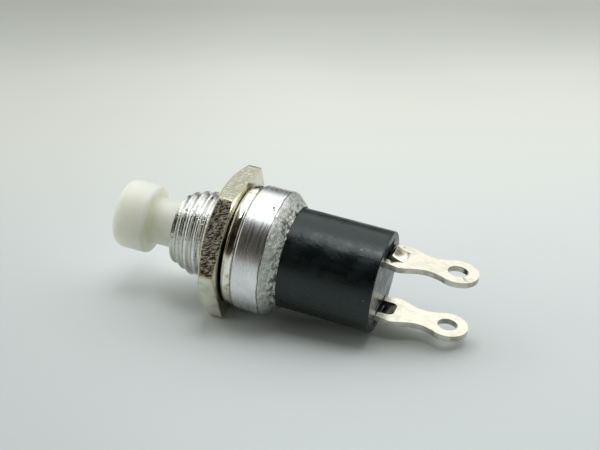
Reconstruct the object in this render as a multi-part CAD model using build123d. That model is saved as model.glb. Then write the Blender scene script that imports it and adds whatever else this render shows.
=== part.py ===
from build123d import *
import math
import os

# Miniature panel pushbutton switch with solder lugs
#
# The switch axis is the X axis. The button is at -X and the solder lugs are at +X.
# The origin is on the axis at the panel seat, which is the front shoulder of the metal shell.
# +Z is up: the hexagon nut lies with one of its flats down. All sizes are in millimetres.

# Threaded bushing and can of the metal shell
thread_radius = 3.45
bushing_length = 6.0
bushing_tip_radius = 2.85
bushing_taper_length = 1.6
bushing_mouth_bevel = 0.2
can_radius = 5.0
can_straight_length = 2.35
can_edge_bevel = 0.15
can_front_wall = 0.9
can_side_wall = 0.5
rim_roll_length = 1.0
rim_lip_width = 0.12

# Base, moulded as one black piece
base_radius = 4.0
base_end = 10.75
base_end_bevel = 0.08
base_flange_thickness = 1.4
cavity_radius = 3.2
spring_well_depth = 4.0
spring_well_radius = 1.3

# Button and stem, moulded as one white piece
stem_radius = 1.85
cap_radius = 2.78
cap_length = 2.78
cap_front_rounding = 0.6
cap_rear_bevel = 0.12
cap_stand_off = 2.4
press_travel = 1.6
spigot_radius = 0.8
stake_radius = 1.2
stake_thickness = 0.4
guide_pin_radius = 0.65
guide_pin_length = 1.6
guide_pin_bevel = 0.2

# Insulating collar and contact disc, both held on the spigot
collar_radius = 2.9
collar_thickness = 0.8
disc_radius = 3.0
disc_thickness = 0.3

# Return spring
spring_mean_radius = 0.98
spring_wire_radius = 0.12
spring_turns = 4
spring_wire_sides = 6

# Solder lugs
lug_spacing = 4.8
lug_thickness = 0.45
lug_root_half_width = 1.48
lug_bulge_half_width = 1.74
lug_bulge_from_base = 1.25
lug_waist_half_width = 0.9
lug_waist_from_base = 3.25
lug_eye_from_base = 5.4
lug_eye_radius = 1.6
lug_hole_radius = 0.78
lug_bulge_rounding = 0.9
lug_waist_rounding = 2.2
lug_bend_radius = 0.2
foot_inner_edge = 1.45
tongue_half_width = 0.8
tongue_root_from_base = 1.6
tongue_tip_from_base = 0.32
tongue_rise = 0.38
window_end_from_base = 1.25
window_start_in_base = 0.15
window_end_rounding = 0.45

# Washer and hexagon nut
washer_thickness = 1.0
washer_radius = 4.87
washer_edge_bevel = 0.26
nut_across_flats = 10.66
nut_thickness = 1.5
nut_face_inside_flats = 0.08
nut_bevel_angle = 25.0
nut_bore_bevel = 0.25

# Clearances
stem_clearance = 0.05
thread_clearance = 0.06
washer_clearance = 0.12
flange_clearance = 0.05
lip_clearance = 0.04
spigot_clearance = 0.03
slot_clearance = 0.04
tongue_clearance = 0.07
contact_clearance = 0.02

# Places along the axis, worked out from the sizes above
bushing_tip = -bushing_length
base_front = can_front_wall
flange_rear = base_front + base_flange_thickness
rim_end = can_straight_length + rim_roll_length
nut_rear = -washer_thickness
nut_front = nut_rear - nut_thickness
cap_rear = bushing_tip - cap_stand_off
cap_front = cap_rear - cap_length
collar_front = can_front_wall
disc_front = collar_front + collar_thickness
disc_rear = disc_front + disc_thickness
stake_rear = disc_rear + stake_thickness
guide_pin_end = stake_rear + guide_pin_length
foot_front = disc_rear + press_travel + contact_clearance
cavity_floor = foot_front + lug_thickness
spring_well_floor = cavity_floor + spring_well_depth
lug_middle = lug_spacing / 2

# A length that reaches past any piece, for cutting tools
beyond = 40.0


def turned(outline):
    """Solid of revolution about X from corner points (place along X, radius)."""
    with BuildPart() as piece:
        with BuildSketch(Plane.XZ):
            with BuildLine():
                Polyline(*outline, close=True)
            make_face()
        revolve(axis=Axis.X)
    return piece.part


def rod(start, end, radius):
    """Solid cylinder on the X axis between two places."""
    return turned([(start, 0), (end, 0), (end, radius), (start, radius)])


def ring_edges(piece, place, radius):
    """Circular edges of a turned piece at one place along X and one radius."""
    found = []
    for edge in piece.edges().filter_by(GeomType.CIRCLE):
        at_place = abs(edge.arc_center.X - place) < 1e-4
        if at_place and abs(edge.radius - radius) < 1e-4:
            found.append(edge)
    return found


def make_shell():
    """Turned metal shell: threaded bushing, shoulder, can and rolled-over rim in one piece."""
    bore = stem_radius + stem_clearance
    can_bore = can_radius - can_side_wall
    taper_rear = bushing_tip + bushing_taper_length
    lip_inside = base_radius + lip_clearance
    return turned([
        (bushing_tip, bore + bushing_mouth_bevel),
        (bushing_tip, bushing_tip_radius),
        (taper_rear, thread_radius),
        (0, thread_radius),
        (0, can_radius - can_edge_bevel),
        (can_edge_bevel, can_radius),
        (can_straight_length, can_radius),
        (rim_end, lip_inside + rim_lip_width),
        (rim_end, lip_inside),
        (flange_rear, lip_inside),
        (flange_rear, can_bore),
        (can_front_wall, can_bore),
        (can_front_wall, bore),
        (bushing_tip + bushing_mouth_bevel, bore),
    ])


def make_plunger():
    """Button cap, stem, spigot, staked head and spring guide pin, moulded as one piece."""
    cap = rod(cap_front, cap_rear, cap_radius)
    cap = fillet(ring_edges(cap, cap_front, cap_radius), cap_front_rounding)
    cap = chamfer(ring_edges(cap, cap_rear, cap_radius), cap_rear_bevel)
    stem = rod(cap_rear, collar_front, stem_radius)
    spigot = rod(collar_front, disc_rear, spigot_radius)
    stake = rod(disc_rear, stake_rear, stake_radius)
    pin = rod(stake_rear, guide_pin_end, guide_pin_radius)
    pin = chamfer(ring_edges(pin, guide_pin_end, guide_pin_radius), guide_pin_bevel)
    return cap + stem + spigot + stake + pin


def make_collar():
    """Insulating collar that stops the button against the inside of the shell's front wall."""
    hole = spigot_radius + spigot_clearance
    return rod(collar_front, disc_front, collar_radius) - rod(collar_front, disc_front, hole)


def make_contact_disc():
    """Flat metal disc that bridges the feet of both solder lugs when the button is pressed."""
    hole = spigot_radius + spigot_clearance
    return rod(disc_front, disc_rear, disc_radius) - rod(disc_front, disc_rear, hole)


def make_return_spring():
    """Helical compression spring between the staked head and the floor of its well."""
    start = stake_rear + spring_wire_radius
    height = spring_well_floor - spring_wire_radius - start
    coil = Helix(pitch=height / spring_turns, height=height, radius=spring_mean_radius)
    wire_outline = RegularPolygon(spring_wire_radius, spring_wire_sides)
    wire_section = Plane(origin=coil @ 0, z_dir=coil % 0) * wire_outline
    spring = sweep(wire_section, path=coil, is_frenet=True)
    return Plane(origin=(start, 0, 0), x_dir=(0, 1, 0), z_dir=(1, 0, 0)) * spring


def lug_slot(middle):
    """Space of one lug's slot through the solid part of the base."""
    width = 2 * (lug_root_half_width + slot_clearance)
    height = lug_thickness + 2 * slot_clearance
    length = base_end - cavity_floor + 2
    centre = Location(((base_end + cavity_floor) / 2, 0, middle))
    return centre * Box(length, width, height)


def make_base():
    """Moulded base: flange, round body, contact cavity, spring well and two lug slots."""
    base = turned([
        (base_front, 0),
        (base_front, can_radius - can_side_wall - flange_clearance),
        (flange_rear, can_radius - can_side_wall - flange_clearance),
        (flange_rear, base_radius),
        (base_end, base_radius),
        (base_end, 0),
    ])
    base = chamfer(ring_edges(base, base_end, base_radius), base_end_bevel)
    base -= rod(base_front, cavity_floor, cavity_radius)
    base -= rod(cavity_floor, spring_well_floor, spring_well_radius)
    base -= lug_slot(lug_middle)
    base -= lug_slot(-lug_middle)
    return base


def lug_outline():
    """Flat outline of a lug seen from above: straight root, rounded bulge, waist and eye."""
    bulge_place = base_end + lug_bulge_from_base
    waist_place = base_end + lug_waist_from_base
    eye_place = base_end + lug_eye_from_base
    half = [
        (foot_front, lug_root_half_width),
        (base_end, lug_root_half_width),
        (bulge_place, lug_bulge_half_width),
        (waist_place, lug_waist_half_width),
        (eye_place, lug_eye_radius),
    ]
    mirrored = [(x, -y) for x, y in reversed(half)]
    with BuildSketch() as outline:
        with BuildLine():
            Polyline(*half, *mirrored, close=True)
        make_face()
        bulges = outline.vertices().filter_by(lambda v: abs(v.X - bulge_place) < 1e-4)
        fillet(bulges, lug_bulge_rounding)
        waists = outline.vertices().filter_by(lambda v: abs(v.X - waist_place) < 1e-4)
        fillet(waists, lug_waist_rounding)
        with Locations((eye_place, 0)):
            Circle(lug_eye_radius)
            Circle(lug_hole_radius, mode=Mode.SUBTRACT)
        window_start = base_end - window_start_in_base
        window_end = base_end + window_end_from_base
        with Locations(((window_start + window_end) / 2, 0)):
            window_width = 2 * (tongue_half_width + tongue_clearance)
            Rectangle(window_end - window_start, window_width, mode=Mode.SUBTRACT)
        window_corners = outline.vertices().filter_by(lambda v: abs(v.X - window_end) < 1e-4)
        fillet(window_corners, window_end_rounding)
    return outline.sketch


def lug_side_profile():
    """Side profile of the folded strip: flat blade with the inner end bent to the axis."""
    inside = lug_middle - lug_thickness / 2
    outside = lug_middle + lug_thickness / 2
    with BuildSketch(Plane.XZ) as profile:
        with BuildLine():
            Polyline(
                (foot_front, foot_inner_edge),
                (foot_front, outside),
                (beyond, outside),
                (beyond, inside),
                (cavity_floor, inside),
                (cavity_floor, foot_inner_edge),
                close=True,
            )
        make_face()
        corners = profile.vertices().filter_by(lambda v: abs(v.X - foot_front) < 1e-4)
        outer_corner = corners.sort_by(Axis.Z)[-1]
        fillet(outer_corner, lug_bend_radius + lug_thickness / 2)
    return profile.sketch


def lug_tongue():
    """Lanced tongue, curved outward from the blade with its free end towards the base."""
    run = tongue_root_from_base - tongue_tip_from_base
    bend = (run ** 2 + tongue_rise ** 2) / (2 * tongue_rise)
    sweep_angle = math.degrees(math.asin(run / bend))
    root = base_end + tongue_root_from_base
    centre = (root, lug_middle + bend)
    with BuildPart() as tongue:
        with BuildSketch(Plane.XZ):
            with BuildLine():
                CenterArc(centre, bend + lug_thickness / 2, 270 - sweep_angle, sweep_angle)
                CenterArc(centre, bend - lug_thickness / 2, 270 - sweep_angle, sweep_angle)
                tip_angle = math.radians(270 - sweep_angle)
                near = bend - lug_thickness / 2
                far = bend + lug_thickness / 2
                near_tip = (centre[0] + near * math.cos(tip_angle), centre[1] + near * math.sin(tip_angle))
                far_tip = (centre[0] + far * math.cos(tip_angle), centre[1] + far * math.sin(tip_angle))
                Line(near_tip, far_tip)
                Line((root, centre[1] - near), (root, centre[1] - far))
            make_face()
        extrude(amount=tongue_half_width, both=True)
    return tongue.part


def make_lug():
    """Upper solder lug: one stamped and folded strip with foot, blade, tongue and eye."""
    blade = extrude(lug_outline(), amount=beyond, both=True)
    strip = extrude(lug_side_profile(), amount=beyond, both=True)
    return (blade & strip) + lug_tongue()


def make_washer():
    """Plain washer with its outer edges well bevelled."""
    hole = thread_radius + washer_clearance
    washer = rod(nut_rear, 0, washer_radius)
    washer = chamfer(ring_edges(washer, nut_rear, washer_radius), washer_edge_bevel)
    washer = chamfer(ring_edges(washer, 0, washer_radius), washer_edge_bevel)
    return washer - rod(nut_rear, 0, hole)


def make_nut():
    """Thin hexagon nut, bevelled on its front face and plain towards the washer."""
    bore = thread_radius + thread_clearance
    corner_radius = nut_across_flats / math.sqrt(3)
    face_radius = nut_across_flats / 2 - nut_face_inside_flats
    bevel_depth = (corner_radius - face_radius) * math.tan(math.radians(nut_bevel_angle))
    plane = Plane(origin=(nut_front, 0, 0), x_dir=(0, 1, 0), z_dir=(1, 0, 0))
    hexagon = plane * RegularPolygon(corner_radius, 6)
    prism = extrude(hexagon, amount=nut_thickness)
    envelope = turned([
        (nut_front, bore + nut_bore_bevel),
        (nut_front, face_radius),
        (nut_front + bevel_depth, corner_radius),
        (nut_rear, corner_radius),
        (nut_rear, bore + nut_bore_bevel),
        (nut_rear - nut_bore_bevel, bore),
        (nut_front + nut_bore_bevel, bore),
    ])
    return prism & envelope


def main():
    """Build every piece and write one file for each."""
    os.makedirs("parts", exist_ok=True)
    upper_lug = make_lug()
    pieces = {
        "shell": make_shell(),
        "plunger": make_plunger(),
        "insulating_collar": make_collar(),
        "contact_disc": make_contact_disc(),
        "return_spring": make_return_spring(),
        "base": make_base(),
        "terminal_upper": upper_lug,
        "terminal_lower": upper_lug.rotate(Axis.X, 180),
        "washer": make_washer(),
        "hex_nut": make_nut(),
    }
    for name, piece in pieces.items():
        export_step(piece, f"parts/{name}.step")


main()
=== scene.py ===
# %% [markdown]
# A miniature panel pushbutton switch
#
# The switch lies on a pale surface. It has a milky button, a bright threaded bushing with a worn
# hexagon nut and a round-edged washer, a turned can whose rear rim is rolled over, a glossy black
# body and two bright solder lugs. The solid model gives the sizes and places. This script gives each
# piece its finished surface, and lights the whole as a small thing on a table near a window.

# %% Load the solid model as a fixed frame
import math

import bmesh
import bpy
from mathutils import Matrix, Vector, noise


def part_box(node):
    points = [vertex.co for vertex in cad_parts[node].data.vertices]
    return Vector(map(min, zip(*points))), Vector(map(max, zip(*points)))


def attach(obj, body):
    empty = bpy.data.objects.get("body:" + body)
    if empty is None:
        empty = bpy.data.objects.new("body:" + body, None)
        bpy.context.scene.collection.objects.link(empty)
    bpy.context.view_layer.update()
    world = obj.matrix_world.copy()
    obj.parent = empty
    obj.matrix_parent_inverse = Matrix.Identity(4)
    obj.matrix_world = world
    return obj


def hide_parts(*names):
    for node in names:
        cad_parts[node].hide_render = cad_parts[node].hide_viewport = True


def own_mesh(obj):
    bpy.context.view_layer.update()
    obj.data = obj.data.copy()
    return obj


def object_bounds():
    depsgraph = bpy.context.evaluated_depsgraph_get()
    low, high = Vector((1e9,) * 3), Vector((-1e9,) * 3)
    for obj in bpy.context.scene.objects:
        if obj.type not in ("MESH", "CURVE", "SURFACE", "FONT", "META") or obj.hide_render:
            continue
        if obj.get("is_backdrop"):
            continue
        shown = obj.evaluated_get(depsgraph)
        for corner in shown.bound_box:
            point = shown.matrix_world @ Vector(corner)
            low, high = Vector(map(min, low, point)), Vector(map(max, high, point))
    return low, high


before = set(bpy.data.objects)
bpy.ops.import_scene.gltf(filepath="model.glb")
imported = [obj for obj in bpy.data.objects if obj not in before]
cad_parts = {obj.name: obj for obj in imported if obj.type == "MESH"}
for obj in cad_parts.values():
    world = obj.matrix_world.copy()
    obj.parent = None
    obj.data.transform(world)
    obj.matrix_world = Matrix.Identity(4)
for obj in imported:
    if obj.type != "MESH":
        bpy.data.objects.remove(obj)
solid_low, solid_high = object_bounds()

print("solid model", [round(1000 * (b - a), 2) for a, b in zip(solid_low, solid_high)], "mm")

# %% [markdown]
# Lengths are in metres, so a millimetre gets a name. The switch axis is X, with the button at -X.
# Places along the axis come from the boxes of the solid pieces, so that each finished piece lies
# exactly where its solid does.

# %% Sizes taken from the solid pieces
MM = 0.001

shell_low, shell_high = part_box("shell")
washer_low, washer_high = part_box("washer")
nut_low, nut_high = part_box("hex_nut")
base_low, base_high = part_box("base")
plunger_low, plunger_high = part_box("plunger")
spring_low, spring_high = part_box("return_spring")

bushing_tip = shell_low.x
rim_end = shell_high.x
can_radius = shell_high.z
across_flats = nut_high.z - nut_low.z
nut_corner_radius = across_flats / math.sqrt(3)
base_end = base_high.x
print("axis from", round(1000 * plunger_low.x, 2), "to", round(1000 * solid_high.x, 2), "mm")

# %% [markdown]
# Most pieces are round. Each has an outline, which is a row of points with a place along the axis and
# a radius. Real edges are never sharp, so a corner may carry a rounding, which becomes a short arc.

# %% Outline with rounded corners
ARC_STEPS = 8


def rounded(corners):
    """Outline points from corners (x, radius, rounding), in millimetres, as metres."""
    outline = []
    for index, (x, radius, rounding) in enumerate(corners):
        corner = Vector((x, radius)) * MM
        if rounding == 0:
            outline.append(corner)
            continue
        before = Vector(corners[index - 1][:2]) * MM
        after = Vector(corners[(index + 1) % len(corners)][:2]) * MM
        back = (before - corner).normalized()
        ahead = (after - corner).normalized()
        half = back.angle(ahead) / 2
        centre = corner + (back + ahead).normalized() * (rounding * MM / math.sin(half))
        cut = rounding * MM / math.tan(half)
        start = corner + back * cut - centre
        turn = start.angle_signed(corner + ahead * cut - centre)
        for step in range(ARC_STEPS + 1):
            arm = start.copy()
            arm.rotate(Matrix.Rotation(-turn * step / ARC_STEPS, 2))
            outline.append(centre + arm)
    return outline


def divided(outline, spacing):
    """The same outline with points added, so that none are further apart than the spacing."""
    points = []
    for first, second in zip(outline, outline[1:]):
        pieces = max(1, math.ceil((second - first).length / spacing))
        points += [first.lerp(second, step / pieces) for step in range(pieces)]
    return points + [outline[-1]]


# %% [markdown]
# A lathe helper turns an outline about X. A point on the axis becomes one pole vertex, and a closed
# outline makes a ring with a hole. Faces of such a mesh may come out inside out, so their normals are
# worked out again at the end, while the mesh is still one closed skin.

# %% Turn an outline about the axis
SHARP_ANGLE = math.radians(35)
ON_AXIS = 1e-7


def new_object(name, data):
    """Object with its data, placed in the scene."""
    made = bpy.data.objects.new(name, data)
    bpy.context.scene.collection.objects.link(made)
    return made


def finish_mesh(shape, name):
    """Object from a closed bmesh, with faces outward and only real corners kept sharp."""
    bmesh.ops.recalc_face_normals(shape, faces=shape.faces)
    mesh = bpy.data.meshes.new(name)
    shape.to_mesh(mesh)
    shape.free()
    mesh.shade_smooth()
    mesh.set_sharp_from_angle(angle=SHARP_ANGLE)
    return new_object(name, mesh)


def lathe_shape(outline, segments, closed):
    """Closed skin turned about X from outline points (x, radius)."""
    shape = bmesh.new()
    rings = []
    for x, radius in outline:
        count = segments if radius > ON_AXIS else 1
        turns = [2 * math.pi * step / segments for step in range(count)]
        rings.append([shape.verts.new((x, radius * math.cos(a), radius * math.sin(a))) for a in turns])
    following = rings[1:] + rings[:1] if closed else rings[1:]
    for first, second in zip(rings, following):
        for step in range(segments):
            around = (step + 1) % segments
            corners = [first[step % len(first)], first[around % len(first)],
                       second[around % len(second)], second[step % len(second)]]
            shape.faces.new(list(dict.fromkeys(corners)))
    return shape


def lathe(name, outline, segments, closed=False):
    """Finished object turned about X from an outline."""
    return finish_mesh(lathe_shape(outline, segments, closed), name)


# %% [markdown]
# What comes out of a node is a field, a value that differs from place to place. Here a field can be
# added and multiplied like a number, and each such step adds one maths node to the tree. Geometry
# Nodes and shaders share these nodes, so both use the same helpers.

# %% Fields in node trees


class Field:
    """Output of a node in a tree, which can be reckoned with like a number."""

    def __init__(self, tree, socket):
        self.tree = tree
        self.socket = socket

    def __add__(self, other):
        return maths("ADD", self, other)

    def __sub__(self, other):
        return maths("SUBTRACT", self, other)

    def __rsub__(self, other):
        return maths("SUBTRACT", other, self)

    def __mul__(self, other):
        return maths("MULTIPLY", self, other)

    def __truediv__(self, other):
        return maths("DIVIDE", self, other)

    def __rtruediv__(self, other):
        return maths("DIVIDE", other, self)


def node(tree, kind, inputs=None, **options):
    """Add a node, set its options, then link or set its inputs by name or number."""
    made = tree.nodes.new(kind)
    for option, value in options.items():
        setattr(made, option, value)
    for socket, value in (inputs or {}).items():
        if isinstance(value, Field):
            tree.links.new(value.socket, made.inputs[socket])
        else:
            made.inputs[socket].default_value = value
    return made


def field(tree, kind, inputs=None, output=0, **options):
    """Add a node and give one of its outputs, by name or number."""
    return Field(tree, node(tree, kind, inputs, **options).outputs[output])


def maths(operation, *values):
    """Result of one step of arithmetic on numbers and at least one field."""
    tree = next(value.tree for value in values if isinstance(value, Field))
    return field(tree, "ShaderNodeMath", dict(enumerate(values)), operation=operation)


def larger(first, second):
    """The larger of two values at each place."""
    return maths("MAXIMUM", first, second)


def smaller(first, second):
    """The smaller of two values at each place."""
    return maths("MINIMUM", first, second)


def ease(value, start, end, low=0.0, high=1.0):
    """Field that goes smoothly from low to high while the value goes from start to end."""
    inputs = {"Value": value, "From Min": start, "From Max": end, "To Min": low, "To Max": high}
    return field(value.tree, "ShaderNodeMapRange", inputs, "Result", interpolation_type="SMOOTHSTEP")


def fade(value, start, end):
    """Mask that goes smoothly from 1 to 0 while the value goes from start to end."""
    return ease(value, start, end, 1.0, 0.0)


def reach(place, axis):
    """How far a place or a direction reaches along an axis."""
    return field(place.tree, "ShaderNodeVectorMath", {0: place, 1: axis}, "Value", operation="DOT_PRODUCT")


def joined(x, y=0.0, z=0.0):
    """Vector from its three parts, the first of them a field."""
    return field(x.tree, "ShaderNodeCombineXYZ", {"X": x, "Y": y, "Z": z})


def split(place):
    """The parts X, Y and Z of a place."""
    outputs = node(place.tree, "ShaderNodeSeparateXYZ", {0: place}).outputs
    return [Field(place.tree, output) for output in outputs]


def round_parts(place):
    """The parts X, Y and Z of a place, and its distance from the X axis."""
    x, y, z = split(place)
    return x, y, z, maths("SQRT", y * y + z * z)


# %% [markdown]
# A node group gets its inputs by name. A piece that is shaped by a geometry tree or by a modifier
# keeps only the plain mesh that comes out.

# %% Groups, and pieces shaped by them


def input_fields(tree, sockets):
    """Give a node group its inputs, each (name, kind, value), and return them by name."""
    for name, kind, value in sockets:
        socket = tree.interface.new_socket(name, in_out="INPUT", socket_type="NodeSocket" + kind)
        if value is not None:
            socket.default_value = value
    return {output.name: Field(tree, output) for output in tree.nodes.new("NodeGroupInput").outputs}


def baked(made):
    """Replace an object's modifiers by the plain mesh that they give."""
    graph = bpy.context.evaluated_depsgraph_get()
    graph.update()
    mesh = bpy.data.meshes.new_from_object(made.evaluated_get(graph), depsgraph=graph)
    made.modifiers.clear()
    made.data = mesh


def shape_with(made, tree, values):
    """Run a geometry tree on an object with its named inputs set, and keep the plain mesh."""
    modifier = made.modifiers.new(tree.name, "NODES")
    modifier.node_group = tree
    for item in tree.interface.items_tree:
        if item.item_type == "SOCKET" and item.in_out == "INPUT" and item.name in values:
            modifier[item.identifier] = values[item.name]
    baked(made)


# %% [markdown]
# The photograph was taken from the side and a little behind, looking down by about 30 degrees. The
# camera's place was worked out from the edges of the rings in the picture: its turn about Z, its
# height, its distance and its roll. The roll is there because the switch lies tilted on the table,
# and the model keeps its own axis level.

# %% Camera
VIEW_TURN = math.radians(15.69)
VIEW_RISE = math.radians(29.58)
VIEW_ROLL = math.radians(7.05)
VIEW_DISTANCE = 93.34 * MM
VIEW_TARGET = Vector((5.0, 0, 0)) * MM
VIEW_SHIFT_RIGHT = -1.04 * MM
VIEW_SHIFT_UP = 2.94 * MM
LENS = 72.0
SENSOR_WIDTH = 36.0

view_back = Vector((math.sin(VIEW_TURN) * math.cos(VIEW_RISE),
                    -math.cos(VIEW_TURN) * math.cos(VIEW_RISE),
                    math.sin(VIEW_RISE)))
level_right = (-view_back).cross(Vector((0, 0, 1))).normalized()
level_up = level_right.cross(-view_back)
view_right = math.cos(VIEW_ROLL) * level_right + math.sin(VIEW_ROLL) * level_up
view_up = -math.sin(VIEW_ROLL) * level_right + math.cos(VIEW_ROLL) * level_up

camera_data = bpy.data.cameras.new("camera")
camera_data.lens = LENS
camera_data.sensor_width = SENSOR_WIDTH
camera_data.clip_start = MM
camera_data.dof.use_dof = False
camera = new_object("camera", camera_data)
camera_place = VIEW_TARGET + view_back * VIEW_DISTANCE
camera_place += view_right * VIEW_SHIFT_RIGHT + view_up * VIEW_SHIFT_UP
camera_turn = Matrix((view_right, view_up, view_back)).transposed().to_4x4()
camera.matrix_world = Matrix.Translation(camera_place) @ camera_turn
bpy.context.scene.camera = camera
print("camera", [round(1000 * c, 1) for c in camera_place], "mm")

# %% [markdown]
# The switch rests on a lower edge of the nut and on its can, so the table is a plane through those
# two places, tilted by about 6 degrees in the model's frame.

# %% Table
TABLE_SIZE = 1.6
CAN_END = 2.35
REST_AT_NUT = Vector((nut_high.x, nut_low.z))
REST_AT_CAN = Vector((CAN_END * MM, -can_radius))
table_slope = (REST_AT_CAN.y - REST_AT_NUT.y) / (REST_AT_CAN.x - REST_AT_NUT.x)


def table_height(x):
    """Height of the table in the model's frame at a place along the axis."""
    return REST_AT_NUT.y + table_slope * (x - REST_AT_NUT.x)


table_mesh = bpy.data.meshes.new("table")
table_corners = [(TABLE_SIZE * x, TABLE_SIZE * y, table_height(TABLE_SIZE * x))
                 for x, y in ((-0.5, -0.5), (0.5, -0.5), (0.5, 0.5), (-0.5, 0.5))]
table_mesh.from_pydata(table_corners, [], [(0, 1, 2, 3)])
table = new_object("table", table_mesh)
table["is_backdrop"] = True
print("table tilt", round(math.degrees(math.atan(table_slope)), 2), "degrees")

# %% [markdown]
# Surface effects that several finishes share are node groups. The first one gives soft patches, for
# smudges, tarnish and uneven gloss. The second gives fine lines that run round a turned piece,
# where each line keeps its place along the axis and fades in and out on its way round.

# %% Shared surface effects


def object_place(tree):
    """Place on the piece, in its own metres."""
    return field(tree, "ShaderNodeTexCoord", output="Object")


def cloud_noise(place, scale, detail, roughness):
    """Noise between 0 and 1 over a place."""
    inputs = {"Vector": place, "Scale": scale, "Detail": detail, "Roughness": roughness}
    return field(place.tree, "ShaderNodeTexNoise", inputs, "Fac")


def shader_group(name, inputs):
    """Empty shader group and its inputs, all of which are numbers unless they start as a vector."""
    tree = bpy.data.node_groups.new(name, "ShaderNodeTree")
    kinds = [(label, "Vector" if isinstance(value, tuple) else "Float", value) for label, value in inputs]
    return tree, input_fields(tree, kinds)


def end_group(name, result):
    """Give a shader group its one output and return the group."""
    result.tree.interface.new_socket(name, in_out="OUTPUT", socket_type="NodeSocketFloat")
    node(result.tree, "NodeGroupOutput", {0: result})
    return result.tree


def make_patches():
    """Soft patches: a mask that is 1 inside a patch and 0 outside."""
    tree, given = shader_group("soft patches", [
        ("Patch size", 1.0), ("Detail", 3.0), ("Low", 0.4), ("High", 0.6), ("Stretch", (1.0, 1.0, 1.0))])
    stretched = field(tree, "ShaderNodeVectorMath", {0: object_place(tree), 1: given["Stretch"]},
                      operation="MULTIPLY")
    cloud = cloud_noise(stretched, 1 / MM / given["Patch size"], given["Detail"], 0.6)
    return end_group("Mask", ease(cloud, given["Low"], given["High"]))


def make_turned_lines():
    """Fine lines round the X axis, as a cutting tool leaves them."""
    tree, given = shader_group("turned lines", [("Spacing", 0.1), ("Fading", 1.5), ("Roughness", 0.6)])
    x, y, z, radius = round_parts(object_place(tree))
    across = [part / radius * given["Fading"] for part in (y, z)]
    flattened = joined(x / (given["Spacing"] * MM), *across)
    return end_group("Height", cloud_noise(flattened, 1.0, 4.0, given["Roughness"]))


patches_group = make_patches()
lines_group = make_turned_lines()
print("shared effects", [group.name for group in (patches_group, lines_group)])

# %% [markdown]
# A finish is one Principled shader with its even numbers set on the shader itself, and only what
# changes over the surface linked in: colour, roughness and bump. These helpers keep the recipes
# short. A few small nicks and stains have places of their own, each with a size, and their mask is
# how near a point lies to one of them.

# %% Helpers for finishes


def new_finish(name, **settings):
    """Material with one Principled shader, whose even values are set by socket name, and its tree."""
    material = bpy.data.materials.new(name)
    material.use_nodes = True
    shader = material.node_tree.nodes["Principled BSDF"]
    for socket, value in settings.items():
        shader.inputs[socket.replace("_", " ")].default_value = value
    return material, material.node_tree


def finished(material, colour, roughness=None, *layers):
    """Link colour, roughness and a chain of bumps, each layer (height, strength, depth in mm)."""
    tree = material.node_tree
    normal = None
    for height, strength, depth in layers:
        inputs = {"Strength": strength, "Distance": depth * MM, "Height": height}
        if normal is not None:
            inputs["Normal"] = normal
        normal = field(tree, "ShaderNodeBump", inputs)
    shader = tree.nodes["Principled BSDF"]
    for socket, value in (("Base Color", colour), ("Roughness", roughness), ("Normal", normal)):
        if value is not None:
            tree.links.new(value.socket, shader.inputs[socket])
    print("finish", material.name)
    return material


def patches(tree, size, low, high, detail=3.0, stretch=(1.0, 1.0, 1.0)):
    """Mask from the soft patches group, with the patch size in millimetres."""
    inputs = {"Patch size": size, "Low": low, "High": high, "Detail": detail, "Stretch": stretch}
    return field(tree, "ShaderNodeGroup", inputs, node_tree=patches_group)


def turned_lines(tree, spacing, fading, roughness=0.6):
    """Height from the turned lines group, with the spacing in millimetres."""
    inputs = {"Spacing": spacing, "Fading": fading, "Roughness": roughness}
    return field(tree, "ShaderNodeGroup", inputs, node_tree=lines_group)


def blend(mask, first, second):
    """Colour that goes from the first to the second as the mask goes from 0 to 1."""
    colours = [colour if isinstance(colour, Field) else (*colour, 1.0) for colour in (first, second)]
    return field(mask.tree, "ShaderNodeMix", {0: mask, 6: colours[0], 7: colours[1]}, 2, data_type="RGBA")


def colour_ramp(place, stops):
    """Colour that follows a place from 0 to 1 through the stops, each (place, colour)."""
    ramp = node(place.tree, "ShaderNodeValToRGB", {"Fac": place})
    elements = ramp.color_ramp.elements
    for index, (position, colour) in enumerate(stops):
        stop = elements[index] if index < 2 else elements.new(position)
        stop.position = position
        stop.color = (*colour, 1.0)
    return Field(place.tree, ramp.outputs["Color"])


def nicks(tree, places):
    """Mask that is 1 at each nick, from (place, size) in millimetres, and 0 away from them."""
    place = object_place(tree)
    mask = 0.0
    for centre, size in places:
        inputs = {0: place, 1: Vector(centre) * MM}
        distance = field(tree, "ShaderNodeVectorMath", inputs, "Value", operation="DISTANCE")
        mask = larger(mask, fade(distance, 0.3 * size * MM, size * MM))
    return mask


# %% [markdown]
# The shell is bare aluminium, turned on a lathe, so fine lines run round it. Behind the can its rim
# was rolled over the black body, which left the metal there rough, dull and full of small pits. The
# roots of the thread are darker than its crests. A thin line of painted shade marks the crease where
# the rim begins, and the nicks are small dents with painted shade in them.

# %% Finish of the shell
RIM_START = 2.1 * MM
THREAD_RADIUS = 3.45 * MM
SHELL_NICKS = (((1.81, -1.55, 4.76), 0.15), ((1.92, -1.75, 4.68), 0.11), ((2.83, -2.09, 4.10), 0.16),
               ((2.98, -2.09, 3.96), 0.20), ((3.10, -3.76, -2.24), 0.20))


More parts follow.
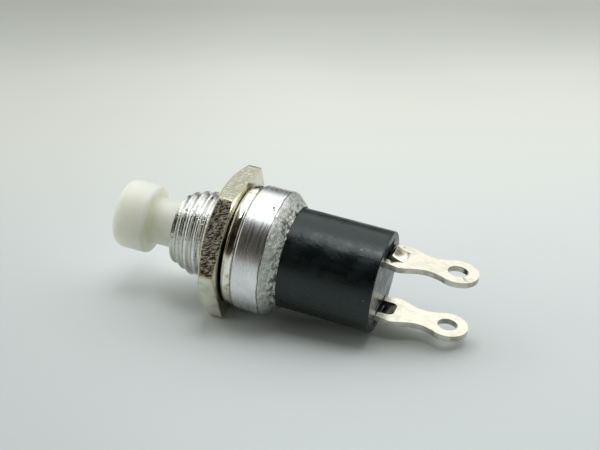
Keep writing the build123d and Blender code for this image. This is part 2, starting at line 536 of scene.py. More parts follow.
def aluminium_finish():
    """Turned bare aluminium with a rough rolled rim, darker thread roots, and painted shade in nicks and
    crease.
    """
    material, tree = new_finish("turned aluminium", Metallic=1.0)
    x, _, _, radius = round_parts(object_place(tree))
    wavy_x = x + patches(tree, 1.3, 0.3, 0.7) * (0.12 * MM)
    on_rim = ease(wavy_x, RIM_START + 0.05 * MM, RIM_START + 0.22 * MM)
    at_lip = ease(x, RIM_START + 0.4 * MM, rim_end - 0.1 * MM, 0.15, 1.0)
    on_thread = fade(x, -0.1 * MM, 0.0)
    in_root = fade(radius, THREAD_RADIUS - 0.24 * MM, THREAD_RADIUS - 0.06 * MM)
    fine = turned_lines(tree, 0.045, 5.0, 0.8)
    coarse = turned_lines(tree, 0.12, 2.2, 0.7)
    smudge = patches(tree, 1.2, 0.4, 0.7, detail=5.0)
    mottled = patches(tree, 0.4, 0.42, 0.62, detail=5.0)
    pits = patches(tree, 0.34, 0.48, 0.60, detail=6.0)
    grain = patches(tree, 0.09, 0.35, 0.65)
    nick_dents_and_shade = nicks(tree, SHELL_NICKS)
    colour = blend(smudge, (0.85, 0.86, 0.87), (0.77, 0.78, 0.78))
    # Darker colour in the thread's roots and in patches on the thread.
    darker_roots_and_mottles = on_thread * larger(in_root, mottled * 0.7)
    colour = blend(darker_roots_and_mottles, colour, (0.70, 0.70, 0.66))
    rolled = blend(grain, (0.80, 0.81, 0.77), (0.58, 0.59, 0.55))
    rolled = blend(mottled * 0.5, rolled, (0.36, 0.36, 0.33))
    rolled = blend(pits * at_lip, rolled, (0.13, 0.12, 0.10))
    colour = blend(on_rim, colour, rolled)
    # Painted shade: a thin dark line along the crease where the rim begins.
    crease_painted_shade = on_rim * (1 - on_rim)
    colour = blend(crease_painted_shade * 3.8, colour, (0.10, 0.10, 0.085))
    # Painted shade in the nicks; their bump gives the dents' shape.
    colour = blend(nick_dents_and_shade, colour, (0.10, 0.07, 0.06))
    streaks = ease(coarse, 0.35, 0.65, 0.22, 0.32)
    dull = larger(on_rim * 0.27, on_thread * (mottled * 0.14 + 0.09))
    roughness = larger(streaks * (1 - on_thread), dull)
    turned = 1 - larger(on_rim, on_thread)
    pebbles = on_rim * (pits * at_lip + grain * 0.25)
    return finished(material, colour, roughness, (turned * coarse, 0.2, 0.008), (turned * fine, 0.45, 0.006),
                    (mottled * on_thread, 0.5, 0.03), (pebbles, 1.0, 0.06), (nick_dents_and_shade, 0.6, 0.05))


aluminium = aluminium_finish()

# %% [markdown]
# The nut was cut from hexagon bar, bevelled in front, and nickel plated. Its upper flats carry rough
# marks that run across them, and along its edges the plating has worn down to yellow brass. Both
# follow from the place on the nut: the shader works out how far a point lies from the nearest flat,
# from the bevel and from the rear face. The flats also carry painted light and shade: the top flat is
# painted lighter than the dark flats below it, and below the middle the flats have fewer marks and a
# lighter painted colour.

# %% Finish of the nut
NUT_FACE_RADIUS = across_flats / 2 - 0.08 * MM
NUT_BEVEL_SLOPE = math.tan(math.radians(25))
FLAT_STEP = math.pi / 3
MARK_SIZE = 0.14 * MM


def nearest_flat(y, z):
    """Angle round the axis, and its difference from the middle of the nearest flat."""
    angle = maths("ARCTAN2", z, y)
    return angle, maths("FLOORED_MODULO", angle, FLAT_STEP) - FLAT_STEP / 2


def worn_nickel_finish():
    """Nickel plate on brass, with rough flats and yellow edges, and painted light and shade on the flats."""
    material, tree = new_finish("worn nickel", Metallic=1.0)
    x, y, z, radius = round_parts(object_place(tree))
    angle, lean = nearest_flat(y, z)
    from_flat = across_flats / 2 - radius * maths("COSINE", lean)
    bevel_radius = (x - nut_low.x) / NUT_BEVEL_SLOPE + NUT_FACE_RADIUS
    from_bevel = (bevel_radius - radius) * NUT_BEVEL_SLOPE
    from_edge = larger(from_flat, smaller(from_bevel, nut_high.x - x))
    from_corner = larger(from_flat, radius * (FLAT_STEP / 2 - maths("ABSOLUTE", lean)))
    ragged = patches(tree, 0.35, 0.35, 0.65)
    edge_width = ragged * (0.12 * MM) + 0.04 * MM
    edges = larger(1 - smaller(from_edge, from_corner) / edge_width, 0.0)
    on_flat = fade(from_flat, 0.02 * MM, 0.08 * MM)
    slanted = x * 0.55 + angle * nut_corner_radius
    marks = ease(cloud_noise(joined(x * 0.35, slanted), 1 / MARK_SIZE, 5.0, 0.75), 0.48, 0.60)
    # Below the middle the flats have fewer cut marks, which is real wear, and a lighter colour, which is
    # painted light.
    smooth_painted_light_underside = fade(z, -0.15 * MM, 0.0)
    # Painted light and shade: the top flat is lighter, the flats below it dark.
    painted_light_top = ease(z, across_flats * 0.44, across_flats * 0.49)
    smudge = patches(tree, 1.4, 0.4, 0.65)
    plate = blend(smudge, (0.74, 0.73, 0.64), (0.60, 0.57, 0.46))
    marked = blend(painted_light_top, (0.24, 0.19, 0.13), (0.50, 0.49, 0.38))
    scuffed = blend(marks, marked, (0.84, 0.83, 0.71))
    underside_painted_light = blend(smudge, (0.88, 0.88, 0.76), (0.70, 0.69, 0.56))
    colour = blend(on_flat, plate, blend(smooth_painted_light_underside, scuffed, underside_painted_light))
    colour = blend(edges, colour, (0.74, 0.62, 0.31))
    cut_marks = marks * (1 - smooth_painted_light_underside * 0.7) * on_flat
    return finished(material, colour, on_flat * 0.06 + 0.18, (ragged, 0.12, 0.02), (cut_marks, 0.4, 0.025))


nickel_on_nut = worn_nickel_finish()

# %% [markdown]
# The washer is the shiniest piece. Its nickel is warm and slightly yellow, and its rounded edge bends
# the whole room into thin bright and dark bands. The finish adds smudges, hair lines and one brown
# tarnished place, and painted shade where the washer meets the nut and the shell, weaker towards the
# top at the nut.

# %% Finish of the washer
WASHER_TARNISH = (((-0.55, -4.45, 2.1), 0.85), ((-0.55, -4.1, 2.75), 0.55))


def bright_nickel_finish():
    """Bright, slightly yellow nickel plate with painted shade along both of its neighbours."""
    material, tree = new_finish("bright nickel", Metallic=1.0)
    x, _, z = split(object_place(tree))
    lines = turned_lines(tree, 0.05, 2.0)
    smudge = patches(tree, 0.8, 0.45, 0.65)
    stain = patches(tree, 0.6, 0.57, 0.72)
    # Painted shade next to the nut, weaker towards the top, and next to the shell.
    painted_shade_at_nut = fade(x, washer_low.x + 0.1 * MM, washer_low.x + 0.3 * MM)
    painted_shade_at_nut = painted_shade_at_nut * ease(z, 1.6 * MM, 3.0 * MM, 1.0, 0.1)
    painted_shade_at_shell = ease(x, washer_high.x - 0.14 * MM, washer_high.x - 0.05 * MM)
    tarnish = nicks(tree, WASHER_TARNISH) * ease(lines, 0.3, 0.7, 1.0, 0.55)
    colour = blend(smudge, (0.93, 0.92, 0.86), (0.84, 0.79, 0.60))
    colour = blend(stain, colour, (0.50, 0.42, 0.24))
    colour = blend(tarnish, colour, (0.16, 0.12, 0.055))
    colour = blend(larger(painted_shade_at_nut, painted_shade_at_shell), colour, (0.07, 0.06, 0.035))
    return finished(material, colour, ease(smudge, 0.0, 1.0, 0.07, 0.2), (lines, 0.3, 0.006))


nickel_on_washer = bright_nickel_finish()

# %% [markdown]
# The body is moulded in black plastic with a soft gloss. Handling has left it slightly cloudy and a
# little scuffed. Both show only where the window is mirrored, so they belong in the roughness and in
# a weak bump and hardly in the colour. Beside both lugs the rear face is made dull and painted darker,
# which is painted shade under the lugs.

# %% Finish of the body
BODY_SCUFFS = (((4.27, -2.37, 3.22), 0.26), ((4.44, -2.20, 3.34), 0.16), ((4.12, -2.55, 3.08), 0.14))
BODY_SPECKS = (((9.05, -1.98, 3.48), 0.11), ((10.18, -3.98, 0.43), 0.06))


def black_moulding_finish():
    """Glossy black plastic, slightly cloudy from handling, with painted shade and dullness by the lugs."""
    material, tree = new_finish(
        "black moulding", Specular_IOR_Level=0.5, Specular_Tint=(0.88, 1.0, 0.98, 1.0))
    x, y, z = split(object_place(tree))
    streaks = patches(tree, 0.3, 0.35, 0.7, detail=4.0, stretch=(0.12, 1.0, 1.0))
    cloudy = patches(tree, 0.9, 0.36, 0.66, detail=5.0, stretch=(0.7, 1.0, 1.0))
    specks = patches(tree, 0.16, 0.68, 0.76)
    scuffed = nicks(tree, BODY_SCUFFS)
    across, height = [maths("ABSOLUTE", part) for part in (y, z)]
    # Painted shade beside the lugs on the rear face, which is also made dull.
    dull_shade_by_lugs = maths("GREATER_THAN", x, base_end - 0.4 * MM) * fade(across, 1.35 * MM, 1.6 * MM)
    dull_shade_by_lugs = dull_shade_by_lugs * ease(height, 1.85 * MM, 2.0 * MM) * fade(height, 3.1 * MM, 3.25 * MM)
    colour = blend(cloudy, (0.0025, 0.0040, 0.0045), (0.0040, 0.0065, 0.0070))
    colour = blend(specks, colour, (0.035, 0.040, 0.038))
    colour = blend(nicks(tree, BODY_SPECKS), colour, (0.22, 0.23, 0.20))
    colour = blend(dull_shade_by_lugs, colour, (0.002, 0.002, 0.002))
    haze = streaks * 0.05 + cloudy * 0.12 + scuffed * 0.3 + dull_shade_by_lugs * 0.75 + 0.23
    return finished(material, colour, haze, (cloudy, 0.2, 0.05), (streaks, 0.08, 0.012),
                    (specks, 0.4, 0.012), (scuffed, 0.5, 0.03))


black_moulding = black_moulding_finish()

# %% [markdown]
# The button is a milky plastic such as nylon. Light goes a little way into it, so its shaded side
# never turns dark. Subsurface scattering does this, with a reach of about two millimetres.

# %% Finish of the button


def milky_plastic_finish():
    """Milky white plastic that lets light in."""
    material, tree = new_finish(
        "milky plastic", Subsurface_Weight=0.9, Subsurface_Scale=2.2 * MM,
        Subsurface_Radius=(1.0, 0.95, 0.8), Specular_IOR_Level=0.4)
    smudge = patches(tree, 2.2, 0.35, 0.7)
    grain = patches(tree, 0.25, 0.4, 0.6)
    colour = blend(smudge, (0.83, 0.83, 0.74), (0.79, 0.79, 0.69))
    roughness = ease(smudge, 0.0, 1.0, 0.32, 0.45)
    return finished(material, colour, roughness, (smudge, 0.1, 0.05), (grain, 0.12, 0.01))


milky_plastic = milky_plastic_finish()

# %% [markdown]
# The lugs are tinned brass strip. The broad faces are bright and warm with faint rolling lines, and
# the sheared edges are greyer and rougher, so the edges get a finish of their own.

# %% Finishes of the lugs
TONGUE_DARK_REFLECTION = (((11.42, 0.15, 2.72), 0.6), ((11.30, -0.15, 2.78), 0.55))
LUG_PITS = (((11.61, 1.40, 2.62), 0.09), ((11.80, 0.60, -2.18), 0.09))


def tinned_finish(name, light, dark, rough_low, rough_high, line_depth):
    """Tinned strip with faint lines along it, with painted shade in and near the lanced window and a painted
    dark reflection on the tongue.
    """
    material, tree = new_finish(name, Metallic=1.0)
    x, y, z = split(object_place(tree))
    smudge = patches(tree, 1.1, 0.4, 0.68)
    lines = patches(tree, 0.1, 0.35, 0.65, detail=2.0, stretch=(0.1, 1.0, 1.0))
    dots = patches(tree, 0.16, 0.70, 0.78)
    near_root = fade(x, base_end + 0.1 * MM, base_end + 0.5 * MM)
    in_window = fade(maths("ABSOLUTE", y), 0.86 * MM, 0.98 * MM)
    far_strip = maths("GREATER_THAN", y, 0.0) * maths("GREATER_THAN", z, 0.0)
    colour = blend(smudge, light, dark)
    colour = blend(dots, colour, [0.6 * part for part in dark])
    colour = blend(nicks(tree, LUG_PITS), colour, (0.06, 0.05, 0.04))
    # Painted dark reflection on the upper lug's tongue.
    colour = blend(nicks(tree, TONGUE_DARK_REFLECTION), colour, (0.20, 0.18, 0.14))
    # Painted shade in and near the lanced window, next to the body.
    colour = blend(near_root * larger(in_window, far_strip), colour, (0.05, 0.045, 0.04))
    roughness = ease(smudge, 0.0, 1.0, rough_low, rough_high)
    return finished(material, colour, roughness, (smudge, 0.1, 0.05), (lines, 0.25, line_depth))


tinned_face = tinned_finish("tinned strip", (0.90, 0.86, 0.75), (0.85, 0.80, 0.67), 0.2, 0.3, 0.006)
tinned_edge = tinned_finish("sheared edge", (0.62, 0.60, 0.52), (0.40, 0.37, 0.30), 0.3, 0.45, 0.02)

# %% [markdown]
# The steel spring, the brass contact disc and the fibre collar show only when the switch is taken
# apart. They still get real finishes, because the parts are also seen one by one.

# %% Finishes of the inner pieces


def inner_finish(name, light, dark, metallic, rough, grain_size):
    """Plain finish with grain for a piece inside the switch."""
    material, tree = new_finish(name, Metallic=metallic)
    grain = patches(tree, grain_size, 0.35, 0.65, detail=4.0)
    roughness = ease(grain, 0.0, 1.0, rough, rough + 0.15)
    return finished(material, blend(grain, light, dark), roughness, (grain, 0.2, 0.01))


spring_steel = inner_finish("spring steel", (0.62, 0.62, 0.63), (0.45, 0.45, 0.46), 1.0, 0.22, 0.5)
disc_brass = inner_finish("disc brass", (0.86, 0.70, 0.36), (0.70, 0.52, 0.24), 1.0, 0.25, 0.6)
collar_fibre = inner_finish("collar fibre", (0.36, 0.17, 0.11), (0.26, 0.11, 0.07), 0.0, 0.6, 0.25)

# %% [markdown]
# The thread is a rule: its radius depends on the place along the axis and the angle round it. A
# Geometry Nodes tree reads both for every point of a plain turned piece and moves the point in or
# out. The bushing takes the smaller of its own radius and the thread's, which drops with the taper at
# the tip. The nut takes the larger, with a little clearance, and both share one helix.

# %% Geometry tree that cuts a thread
THREAD_PITCH = 0.75 * MM
THREAD_DEPTH = 0.25 * MM
THREAD_ROOT = 3.2 * MM
THREAD_RUNOUT = 0.3 * MM


def geometry_tree(name, inputs):
    """Geometry tree and its named inputs, the last of which is the finish."""
    tree = bpy.data.node_groups.new(name, "GeometryNodeTree")
    given = input_fields(tree, [*inputs, ("Finish", "Material", None)])
    return tree, given


def end_tree(shaped, given):
    """Realize, set the finish and end a geometry tree."""
    real = field(shaped.tree, "GeometryNodeRealizeInstances", {0: shaped})
    done = field(shaped.tree, "GeometryNodeSetMaterial", {"Geometry": real, "Material": given["Finish"]})
    shaped.tree.interface.new_socket("Geometry", in_out="OUTPUT", socket_type="NodeSocketGeometry")
    node(shaped.tree, "NodeGroupOutput", {0: done})


def move_radially(given, parts, new_radius, selection):
    """Set each selected point's distance from the axis and end the tree."""
    x, y, z, radius = parts
    factor = new_radius / larger(radius, 0.001 * MM)
    moved = joined(x, y * factor, z * factor)
    end_tree(field(x.tree, "GeometryNodeSetPosition", {
        "Geometry": given["Geometry"], "Selection": selection, "Position": moved}), given)


def make_thread_tree():
    """Tree that cuts a right-handed thread into the outside or the inside of a turned piece."""
    tree, given = geometry_tree("cut thread", [
        ("Geometry", "Geometry", None), ("Pitch", "Float", THREAD_PITCH),
        ("Root radius", "Float", THREAD_ROOT), ("Depth", "Float", THREAD_DEPTH),
        ("Ends at", "Float", 0.0), ("Runout", "Float", THREAD_RUNOUT), ("Tip at", "Float", -1.0),
        ("Taper end", "Float", -0.9), ("Taper drop", "Float", 0.0), ("Inside wall", "Bool", False)])
    parts = round_parts(field(tree, "GeometryNodeInputPosition"))
    x, y, z, radius = parts
    phase = x / given["Pitch"] - maths("ARCTAN2", z, y) / (2 * math.pi)
    crest = ease(maths("PINGPONG", phase, 0.5) * 2.0, 0.1, 0.95)
    crest = larger(crest, ease(x, given["Ends at"] - given["Runout"], given["Ends at"]))
    taper = field(tree, "ShaderNodeMapRange", {
        "Value": x, "From Min": given["Tip at"], "From Max": given["Taper end"],
        "To Min": given["Taper drop"], "To Max": 0.0}, "Result")
    groove = crest * given["Depth"] + given["Root radius"] - taper
    walls = {0: given["Inside wall"], 1: smaller(radius, groove), 2: larger(radius, groove)}
    chosen = field(tree, "GeometryNodeSwitch", walls, input_type="FLOAT")
    move_radially(given, parts, chosen, maths("LESS_THAN", x, given["Ends at"]))
    return tree


thread_tree = make_thread_tree()
print("thread pitch", THREAD_PITCH / MM, "mm, depth", THREAD_DEPTH / MM, "mm")

# %% [markdown]
# The shell is one turned piece: bushing, shoulder, can and rim. The thread and the rim get closely
# spaced points, because they are reshaped after turning. On the rolled rim each point is pushed
# inwards by noise, which leaves the lumps and the ragged lip that the rolling tool made.

# %% Shell
SHELL_SEGMENTS = 280
FINE_STEP = 0.05 * MM
CAN_STEP = 0.06 * MM
BORE_RADIUS = 1.9
BORE_EDGE = -5.85
TIP_RADIUS = 2.85
TAPER_END = -4.4
LIP_INSIDE = 4.04
LIP_OUTSIDE = 4.16
CAN_BORE = 4.5
FLANGE_REAR = 2.3
CAN_WALL = 0.9
LUMP_HEIGHT = 0.06 * MM
LIP_RAGGEDNESS = 0.16 * MM

bushing_outline = rounded([
    (BORE_EDGE, BORE_RADIUS, 0.1), (bushing_tip / MM, BORE_RADIUS + 0.2, 0.05),
    (bushing_tip / MM, TIP_RADIUS, 0.06), (TAPER_END, THREAD_RADIUS / MM, 0.4),
    (0, THREAD_RADIUS / MM, 0.0), (0, 2 * can_radius / MM, 0.0)])[:-1]
can_outline = rounded([
    (0, 0, 0), (0, can_radius / MM, 0.16), (CAN_END, can_radius / MM, 0.3),
    (rim_end / MM, LIP_OUTSIDE, 0.03), (rim_end / MM, LIP_INSIDE, 0.03),
    (FLANGE_REAR, LIP_INSIDE, 0), (FLANGE_REAR, CAN_BORE, 0), (CAN_WALL, CAN_BORE, 0),
    (CAN_WALL, BORE_RADIUS, 0)])[1:]


def held(value):
    """The value kept between 0 and 1."""
    return min(1.0, max(0.0, value))


def dent_rim(shape):
    """Push the rolled rim's points inwards, so that it is pebbled and its lip ragged."""
    for point in shape.verts:
        radius = math.hypot(point.co.y, point.co.z)
        past_start = (point.co.x - RIM_START) / (0.3 * MM)
        if past_start < 0 or radius < (LIP_INSIDE + 0.04) * MM:
            continue
        lumps = 0.5 + noise.fractal(point.co / (0.3 * MM), 0.8, 2.1, 4)
        ragged = 0.5 + noise.fractal(point.co / (1.1 * MM) + Vector((7, 3, 1)), 0.8, 2.3, 4)
        inwards = 1 - LUMP_HEIGHT * held(past_start) * held(lumps) / radius
        near_lip = max(0.0, (point.co.x - rim_end + 0.6 * MM) / (0.6 * MM))
        point.co.y *= inwards
        point.co.z *= inwards
        point.co.x -= LIP_RAGGEDNESS * near_lip * held(ragged)


shell_outline = divided(bushing_outline, FINE_STEP) + divided(can_outline, CAN_STEP)
shell_shape = lathe_shape(shell_outline, SHELL_SEGMENTS, closed=True)
dent_rim(shell_shape)
shell = finish_mesh(shell_shape, "threaded_shell")
shape_with(shell, thread_tree, {
    "Ends at": -0.02 * MM, "Tip at": bushing_tip, "Taper end": TAPER_END * MM,
    "Taper drop": THREAD_RADIUS - TIP_RADIUS * MM, "Finish": aluminium})
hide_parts("shell")
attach(shell, "housing")
print("shell", len(shell.data.polygons), "faces")

# %% [markdown]
# The nut starts as a round ring with a bevelled front, and two trees shape it. The first presses the
# ring flat on six sides: each point takes the smaller of its own radius and that of the nearest flat,
# blended smoothly so that the edges come out worn. Near the rear face the flats draw in a little,
# which rounds that edge too. The second tree cuts the inner thread.

# %% Nut
NUT_SEGMENTS = 288
NUT_FLATS_ROUNDING = 0.13 * MM
NUT_REAR_ROUNDING = 0.06
FUNNEL_RADIUS = 3.76
THREAD_CLEARANCE = 0.06 * MM
BEYOND_NUT = 1.0


def make_hexagon_tree():
    """Tree that presses a round ring into a hexagon with softened edges."""
    tree, given = geometry_tree("press six flats", [
        ("Geometry", "Geometry", None), ("Across flats", "Float", across_flats),
        ("Edge rounding", "Float", NUT_FLATS_ROUNDING), ("Rear face", "Float", 0.0),
        ("Rear rounding", "Float", NUT_REAR_ROUNDING * MM)])
    parts = round_parts(field(tree, "GeometryNodeInputPosition"))
    x, y, z, radius = parts
    _, lean = nearest_flat(y, z)
    rounding = given["Rear rounding"]
    past = larger(rounding - (given["Rear face"] - x), 0.0)
    drop = rounding - maths("SQRT", larger(rounding * rounding - past * past, 0.0))
    flat_radius = (given["Across flats"] / 2.0 - drop) / maths("COSINE", lean)
    pressed = maths("SMOOTH_MIN", radius, flat_radius, given["Edge rounding"])
    move_radially(given, parts, pressed, maths("GREATER_THAN", radius, THREAD_RADIUS * 1.2))
    return tree


def nut_outline():
    """Outline of the ring before the flats: bevelled in front, funnel-shaped at both ends inside."""
    front, rear = nut_low.x / MM, nut_high.x / MM
    face_radius = NUT_FACE_RADIUS / MM
    corner_radius = nut_corner_radius / MM
    bevel = (corner_radius - face_radius) * NUT_BEVEL_SLOPE
    root = THREAD_ROOT / MM
    funnel = FUNNEL_RADIUS - root
    outline = rounded([
        (front, FUNNEL_RADIUS, 0.04), (front, face_radius, 0.05), (front + bevel, corner_radius, 0.04),
        (rear, corner_radius, NUT_REAR_ROUNDING), (rear, FUNNEL_RADIUS, 0.04),
        (rear - funnel, root, 0.0), (front + funnel, root, 0.0)])
    return divided(outline + outline[:1], FINE_STEP)[:-1]


nut_ring = lathe("hexagon_nut", nut_outline(), NUT_SEGMENTS, closed=True)
shape_with(nut_ring, make_hexagon_tree(), {"Rear face": nut_high.x, "Finish": nickel_on_nut})
shape_with(nut_ring, thread_tree, {"Root radius": THREAD_ROOT + THREAD_CLEARANCE, "Ends at": BEYOND_NUT,
                                   "Inside wall": True, "Finish": nickel_on_nut})
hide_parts("hex_nut")
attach(nut_ring, "nut")
print("nut", len(nut_ring.data.polygons), "faces")

# %% [markdown]
# The washer is a thick ring whose outer edge is rounded almost to a half circle, so a plain lathe
# outline with large roundings gives it.

# %% Washer
WASHER_SEGMENTS = 256
WASHER_BORE = 3.57
WASHER_EDGE_ROUNDING = 0.42

washer_front, washer_rear = washer_low.x / MM, washer_high.x / MM
washer_radius = washer_high.z / MM
washer = lathe("round_edged_washer", rounded([
    (washer_front, WASHER_BORE, 0.06), (washer_front, washer_radius, WASHER_EDGE_ROUNDING),
    (washer_rear, washer_radius, WASHER_EDGE_ROUNDING), (washer_rear, WASHER_BORE, 0.06)]),
    WASHER_SEGMENTS, closed=True)
washer.data.materials.append(nickel_on_washer)
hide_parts("washer")
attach(washer, "washer")
print("washer", len(washer.data.polygons), "faces")

# %% [markdown]
# The button, its stem and its inner spigot are one moulding, so one outline from pole to pole makes
# them. The cap's front edge is well rounded and its rear edge less.

# %% Button
BUTTON_SEGMENTS = 192
STEM_RADIUS = 1.85
CAP_REAR = -8.4
SPIGOT_RADIUS = 0.8
STAKE_RADIUS = 1.2
PIN_RADIUS = 0.65

cap_front, pin_end = plunger_low.x / MM, plunger_high.x / MM
cap_radius = plunger_high.z / MM
spigot_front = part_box("insulating_collar")[0].x / MM
stake_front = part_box("contact_disc")[1].x / MM
stake_rear = spring_low.x / MM
button_outline = [Vector((plunger_low.x, 0))] + rounded([
    (CAP_REAR, 0, 0), (cap_front, 0, 0), (cap_front, cap_radius, 0.62),
    (CAP_REAR, cap_radius, 0.3), (CAP_REAR, STEM_RADIUS, 0.4),
    (spigot_front, STEM_RADIUS, 0.05), (spigot_front, SPIGOT_RADIUS, 0), (stake_front, SPIGOT_RADIUS, 0),
    (stake_front, STAKE_RADIUS, 0.05), (stake_rear, STAKE_RADIUS, 0.15), (stake_rear, PIN_RADIUS, 0),
    (pin_end, PIN_RADIUS, 0.25), (pin_end, 0, 0)])[2:]
button = lathe("milky_button", button_outline, BUTTON_SEGMENTS)
button.data.materials.append(milky_plastic)
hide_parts("plunger")
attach(button, "button")
print("button", len(button.data.polygons), "faces")

# %% [markdown]
# The body is turned first, with its flange, contact cavity and spring well, and the two slots for the
# lugs are then cut through it. A Boolean modifier does the cutting and is made permanent at once.

# %% Body
BODY_SEGMENTS = 256
BODY_RADIUS = 4.0
CAVITY_RADIUS = 3.2
CAVITY_FLOOR = 4.07
WELL_RADIUS = 1.3
SLOT_HALF_WIDTH = 1.52
SLOT_HALF_HEIGHT = 0.265
SLOT_START = 3.0
SLOT_END = 12.0
LUG_MIDDLE = 2.4

cavity_front, body_end = base_low.x / MM, base_end / MM
flange_radius = base_high.z / MM
well_floor = spring_high.x / MM
body_outline = [Vector((spring_high.x, 0))] + rounded([
    (body_end, 0, 0), (well_floor, 0, 0), (well_floor, WELL_RADIUS, 0), (CAVITY_FLOOR, WELL_RADIUS, 0),
    (CAVITY_FLOOR, CAVITY_RADIUS, 0), (cavity_front, CAVITY_RADIUS, 0),
    (cavity_front, flange_radius, 0.05), (FLANGE_REAR, flange_radius, 0.03),
    (FLANGE_REAR, BODY_RADIUS, 0), (body_end, BODY_RADIUS, 0.1), (body_end, 0, 0)])[2:]


def cutter_box(name, low, high):
    """Box object between two corners in millimetres, for cutting."""
    shape = bmesh.new()
    bmesh.ops.create_cube(shape, size=1.0)
    low, high = Vector(low) * MM, Vector(high) * MM
    for point in shape.verts:
        point.co = (low + high) / 2 + Vector(a * b for a, b in zip(point.co, high - low))
    return finish_mesh(shape, name)


body = lathe("black_body", body_outline, BODY_SEGMENTS)
for middle in (LUG_MIDDLE, -LUG_MIDDLE):
    slot = cutter_box("slot_cutter", (SLOT_START, -SLOT_HALF_WIDTH, middle - SLOT_HALF_HEIGHT),
                      (SLOT_END, SLOT_HALF_WIDTH, middle + SLOT_HALF_HEIGHT))
    cut = body.modifiers.new("slot", "BOOLEAN")
    cut.object = slot
    cut.operation = "DIFFERENCE"
    baked(body)
    bpy.data.objects.remove(slot)
body.data.set_sharp_from_angle(angle=SHARP_ANGLE)
body.data.materials.append(black_moulding)
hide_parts("base")
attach(body, "housing")
print("body", len(body.data.polygons), "faces")

# %% [markdown]
# The lugs were stamped, lanced and folded, and the solids already have that form. A merged copy of
# each solid's mesh gets a small bevel, which catches the light, and its normals are weighted by area,
# so that the broad faces still mirror as flat ones. Faces that stand square to the strip are the
# sheared ones, and they take the second finish.

# %% Lugs
LUG_EDGE_BEVEL = 0.035 * MM
MERGE_DISTANCE = 0.0005 * MM
FLAT_ANGLE = math.radians(0.5)
EDGE_ANGLE = math.radians(40)


def make_lug(name, node_name):
    """Finished lug from a merged copy of the solid's mesh."""
    shape = bmesh.new()
    shape.from_mesh(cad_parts[node_name].data)
    bmesh.ops.remove_doubles(shape, verts=shape.verts, dist=MERGE_DISTANCE)
    bmesh.ops.dissolve_limit(shape, angle_limit=FLAT_ANGLE, verts=shape.verts, edges=shape.edges)
    lug = finish_mesh(shape, name)
    edge = lug.modifiers.new("worn edge", "BEVEL")
    edge.width = LUG_EDGE_BEVEL
    edge.segments = 3
    edge.limit_method = "ANGLE"
    edge.angle_limit = EDGE_ANGLE
    lug.modifiers.new("flat faces stay flat", "WEIGHTED_NORMAL")
    baked(lug)
    for finish in (tinned_face, tinned_edge):
        lug.data.materials.append(finish)
    for face in lug.data.polygons:
        sheared = abs(face.normal.z) < 0.5 and face.center.x > base_end
        face.material_index = 1 if sheared else 0
    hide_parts(node_name)
    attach(lug, "housing")
    print(name, len(lug.data.polygons), "faces")


make_lug("upper_solder_lug", "terminal_upper")
make_lug("lower_solder_lug", "terminal_lower")

# %% [markdown]
# The return spring is a round wire wound in a helix, so a small tree makes it from named sizes: turns,
# radius, wire, start and length. When the button is pressed the spring has to shorten.

# %% Return spring
SPRING_TURNS = 4
SPRING_RADIUS = 0.98 * MM
WIRE_RADIUS = 0.12 * MM
POINTS_PER_TURN = 48
POINTS_ROUND_WIRE = 14


def make_spring_tree():
    """Tree that winds a round wire along X."""
    tree, given = geometry_tree("wind spring", [
        ("Turns", "Float", SPRING_TURNS), ("Coil radius", "Float", SPRING_RADIUS),
        ("Wire radius", "Float", WIRE_RADIUS), ("Start", "Float", 0.0), ("Length", "Float", 5 * MM)])
    coil = field(tree, "GeometryNodeCurveSpiral", {
        "Resolution": POINTS_PER_TURN, "Rotations": given["Turns"], "Start Radius": given["Coil radius"],
        "End Radius": given["Coil radius"], "Height": given["Length"]})
    laid = field(tree, "GeometryNodeTransform", {
        "Geometry": coil, "Translation": joined(given["Start"]), "Rotation": (0, math.pi / 2, 0)})
    wire = field(tree, "GeometryNodeCurvePrimitiveCircle", {
        "Resolution": POINTS_ROUND_WIRE, "Radius": given["Wire radius"]})
    end_tree(field(tree, "GeometryNodeCurveToMesh", {
        "Curve": laid, "Profile Curve": wire, "Fill Caps": True}), given)
    return tree


spring = new_object("coiled_return_spring", bpy.data.meshes.new("coiled_return_spring"))
shape_with(spring, make_spring_tree(), {
    "Start": spring_low.x + WIRE_RADIUS, "Length": spring_high.x - spring_low.x - 2 * WIRE_RADIUS,
    "Finish": spring_steel})
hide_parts("return_spring")
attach(spring, "housing")
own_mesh(spring)
print("spring", len(spring.data.polygons), "faces")

# %% [markdown]
# The contact disc and the collar are plain discs with a hole, and their solids are already right, so
# they stay and only take their finishes.

# %% Contact disc and collar
for node_name, finish in (("contact_disc", disc_brass), ("insulating_collar", collar_fibre)):
    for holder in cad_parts[node_name].material_slots:
        holder.material = finish
    print(node_name, "takes", finish.name)

# %% [markdown]
# A bright metal thing looks like what it mirrors. In the photograph the far side and the ceiling are
# bright, the side of the camera is a dim warm room, and the table is pale. So the sky is a ramp over
# the angle from the camera's horizon, across the zenith, to the far horizon, with pale walls to the
# left and right. One soft lamp overhead throws the shadows, and a weak wide lamp from the left
# lightens them. It is hidden from mirrored rays, so that the metals keep their deep darks. The
# photograph's highlights are burnt out to white, so the picture uses the plain Standard view.

# %% Surroundings and lamps
bpy.context.scene.view_settings.view_transform = "Standard"

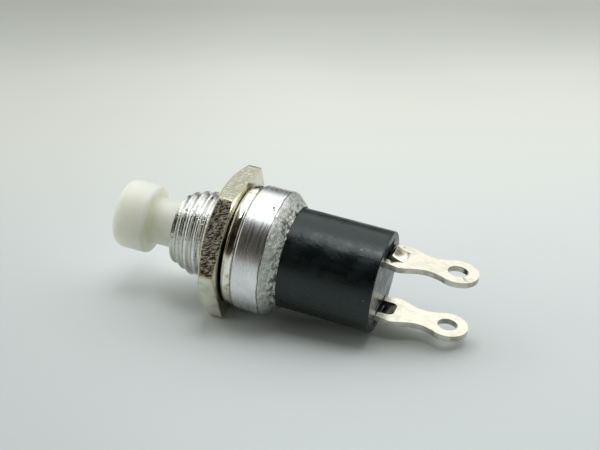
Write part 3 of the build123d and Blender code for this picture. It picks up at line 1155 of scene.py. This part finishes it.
SKY_STOPS = (
    (0.00, (0.42, 0.40, 0.36)), (0.04, (0.12, 0.11, 0.09)), (0.14, (0.026, 0.020, 0.012)),
    (0.38, (0.026, 0.021, 0.014)), (0.46, (0.10, 0.10, 0.095)), (0.51, (1.00, 1.07, 1.09)),
    (0.56, (1.90, 2.00, 2.02)), (0.62, (1.65, 1.73, 1.75)), (0.70, (1.35, 1.40, 1.41)),
    (0.84, (1.15, 1.17, 1.13)), (0.885, (0.50, 0.52, 0.52)), (0.905, (0.03, 0.035, 0.035)),
    (0.94, (0.03, 0.035, 0.035)), (0.957, (0.42, 0.42, 0.40)), (0.972, (0.03, 0.035, 0.035)),
    (1.00, (0.04, 0.045, 0.045)))
SIDE_WALLS = (0.80, 0.83, 0.81)
WALLS_FROM, WALLS_FULL = 0.6, 0.9
BEYOND_TABLE = (0.62, 0.64, 0.64)


def make_sky():
    """World whose brightness depends on the angle from the camera's side over the zenith."""
    world = bpy.data.worlds.new("room")
    world.use_nodes = True
    tree = world.node_tree
    direction = field(tree, "ShaderNodeTexCoord", output="Generated")
    nearness = reach(direction, (math.sin(VIEW_TURN), -math.cos(VIEW_TURN), 0.0))
    sideways = reach(direction, (math.cos(VIEW_TURN), math.sin(VIEW_TURN), 0.0))
    height = reach(direction, (0.0, 0.0, 1.0))
    angle = maths("ARCTAN2", larger(height, 0.0), nearness)
    colour = colour_ramp(angle / math.pi, SKY_STOPS)
    to_side = ease(maths("ABSOLUTE", sideways), WALLS_FROM, WALLS_FULL)
    colour = blend(to_side, colour, SIDE_WALLS)
    seen = field(tree, "ShaderNodeLightPath", output="Is Camera Ray")
    colour = blend(seen, colour, BEYOND_TABLE)
    tree.links.new(colour.socket, tree.nodes["Background"].inputs["Color"])
    print("sky with", len(SKY_STOPS), "stops")
    return world


def soft_lamp(name, turn, rise, distance, size, power, colour):
    """Square soft lamp that looks at the origin from a turn about Z and a rise, both in degrees."""
    data = bpy.data.lights.new(name, "AREA")
    data.size = size
    data.energy = power
    data.color = colour
    lamp = new_object(name, data)
    turn, rise = math.radians(turn), math.radians(rise)
    back = Vector((math.sin(turn) * math.cos(rise), math.cos(turn) * math.cos(rise), math.sin(rise)))
    looking = (-back).to_track_quat("-Z", "Y").to_matrix().to_4x4()
    lamp.matrix_world = Matrix.Translation(back * distance) @ looking
    print(name, [round(1000 * c) for c in lamp.matrix_world.translation], "mm")
    return lamp


bpy.context.scene.world = make_sky()
soft_lamp("window", turn=172, rise=88, distance=0.32, size=0.12, power=0.215, colour=(0.97, 0.99, 1.0))
room_fill = soft_lamp(
    "room_fill", turn=255, rise=32, distance=0.5, size=0.4, power=0.42, colour=(1.0, 0.99, 0.96))
room_fill.visible_glossy = False

# %% [markdown]
# The table is matt and pale, and its colour holds painted light: it is brightest in a broad band
# behind the switch, dimmer and warmer beyond it, cooler in front and a little darker to the left. The
# bands lie level in the picture, so the colour follows a depth and a breadth that are turned to match it.

# %% Finish of the table
BAND_TURN = math.radians(21.5)
BAND_START = 0.185
BANDS_PER_METRE = 10.0
TABLE_PAINTED_LIGHT_STOPS = (
    (0.00, (0.615, 0.65, 0.645)), (0.32, (0.73, 0.755, 0.745)), (0.50, (0.785, 0.795, 0.745)),
    (0.62, (0.78, 0.775, 0.71)), (0.71, (0.735, 0.735, 0.675)), (0.84, (0.59, 0.595, 0.555)),
    (0.98, (0.49, 0.495, 0.455)))


def pale_table_finish():
    """Matt pale surface with painted light: a lighter band behind the switch and dimmer to the left."""
    material, tree = new_finish("pale table", Roughness=0.75, Specular_IOR_Level=0.25)
    place = object_place(tree)
    depth = reach(place, (-math.sin(BAND_TURN), math.cos(BAND_TURN), 0))
    breadth = reach(place, (math.cos(BAND_TURN), math.sin(BAND_TURN), 0))
    depth = depth + patches(tree, 30.0, 0.3, 0.7, detail=1.0) * (3 * MM)
    # Painted light: brighter and dimmer bands across the table, and dimmer to the left.
    painted_light_bands = colour_ramp(depth * BANDS_PER_METRE + BAND_START, TABLE_PAINTED_LIGHT_STOPS)
    painted_dimming_to_left = ease(breadth, -30 * MM, 10 * MM, 0.18, 0.0)
    return finished(material, blend(painted_dimming_to_left, painted_light_bands, (0.0, 0.0, 0.0)))


table.data.materials.append(pale_table_finish())

# %% [markdown]
# The solid's box and the finished model's box are printed side by side, to show whether the finished
# pieces stay inside the solid ones.

# %% Print both boxes
finished_low, finished_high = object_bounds()
boxes = {"solid": [list(solid_low), list(solid_high)], "finished": [list(finished_low), list(finished_high)]}
for name, (low, high) in boxes.items():
    print(name, [round(1000 * value, 3) for value in low + high])
